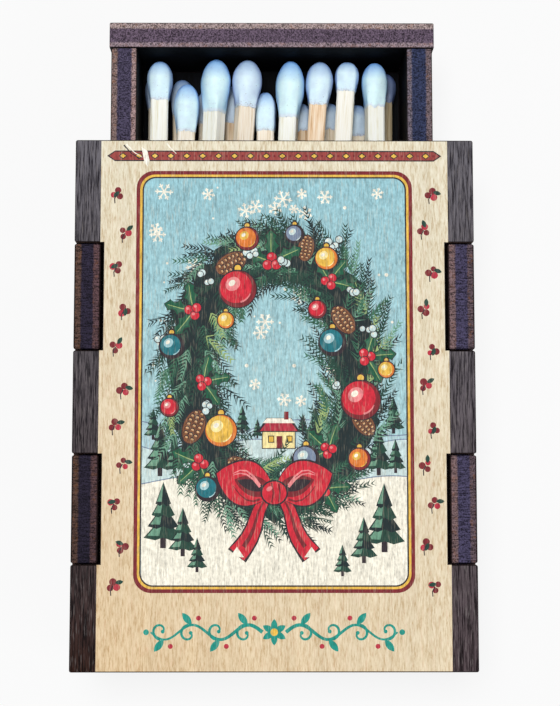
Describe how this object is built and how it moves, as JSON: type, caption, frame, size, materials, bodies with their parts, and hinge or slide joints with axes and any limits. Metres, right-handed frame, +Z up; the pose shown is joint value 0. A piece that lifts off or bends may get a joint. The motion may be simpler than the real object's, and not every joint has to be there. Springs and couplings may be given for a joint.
{
  "type": "matchbox",
  "caption": "Laser-cut plywood matchbox: a printed, finger-jointed sleeve open at both ends, with a sliding tray that holds white-headed wooden matches.",
  "frame": {"origin": "middle of the sleeve's underside, on the surface that it lies on", "axes": "+X across the box's width to the right, +Y along its length in the direction that the tray is drawn out, +Z up, out of the decorated front panel"},
  "size_m": [0.0464, 0.0749, 0.0199],
  "materials": {
    "printed_wood": "pale veneer with a printed front, satin",
    "stained_wood": "dark stained plywood with burnt edges, matte",
    "tray_wood": "laser-cut plywood, dark stained, matte",
    "striker_grit": "gritty striking surface, matte",
    "stick_wood": "bare split softwood",
    "head_coating": "dipped and dried coating, slightly glossy"
  },
  "bodies": {
    "sleeve": {"front_panel": "printed_wood", "back_panel": "stained_wood", "left_side_panel": "stained_wood", "right_side_panel": "stained_wood", "left_striker_strip": "striker_grit", "right_striker_strip": "striker_grit"},
    "tray": {"tray_floor": "tray_wood", "tray_left_wall": "tray_wood", "tray_right_wall": "tray_wood", "tray_far_end": "tray_wood", "tray_near_end": "tray_wood", "lower_match_1_head": "head_coating", "lower_match_1_stick": "stick_wood", "lower_match_2_head": "head_coating", "lower_match_2_stick": "stick_wood", "lower_match_3_head": "head_coating", "lower_match_3_stick": "stick_wood", "lower_match_4_head": "head_coating", "lower_match_4_stick": "stick_wood", "lower_match_5_head": "head_coating", "lower_match_5_stick": "stick_wood", "lower_match_6_head": "head_coating", "lower_match_6_stick": "stick_wood", "lower_match_7_head": "head_coating", "lower_match_7_stick": "stick_wood", "lower_match_8_head": "head_coating", "lower_match_8_stick": "stick_wood", "lower_match_9_head": "head_coating", "lower_match_9_stick": "stick_wood", "upper_match_1_head": "head_coating", "upper_match_1_stick": "stick_wood", "upper_match_2_head": "head_coating", "upper_match_2_stick": "stick_wood", "upper_match_3_head": "head_coating", "upper_match_3_stick": "stick_wood", "upper_match_4_head": "head_coating", "upper_match_4_stick": "stick_wood", "upper_match_5_head": "head_coating", "upper_match_5_stick": "stick_wood", "upper_match_6_head": "head_coating", "upper_match_6_stick": "stick_wood", "upper_match_7_head": "head_coating", "upper_match_7_stick": "stick_wood", "upper_match_8_head": "head_coating", "upper_match_8_stick": "stick_wood"}
  },
  "joints": [
    {"name": "tray_slide", "type": "slide", "parent": "sleeve", "child": "tray", "axis": [0, 1, 0], "range_m": [-0.0599, 0.0301]}
  ]
}
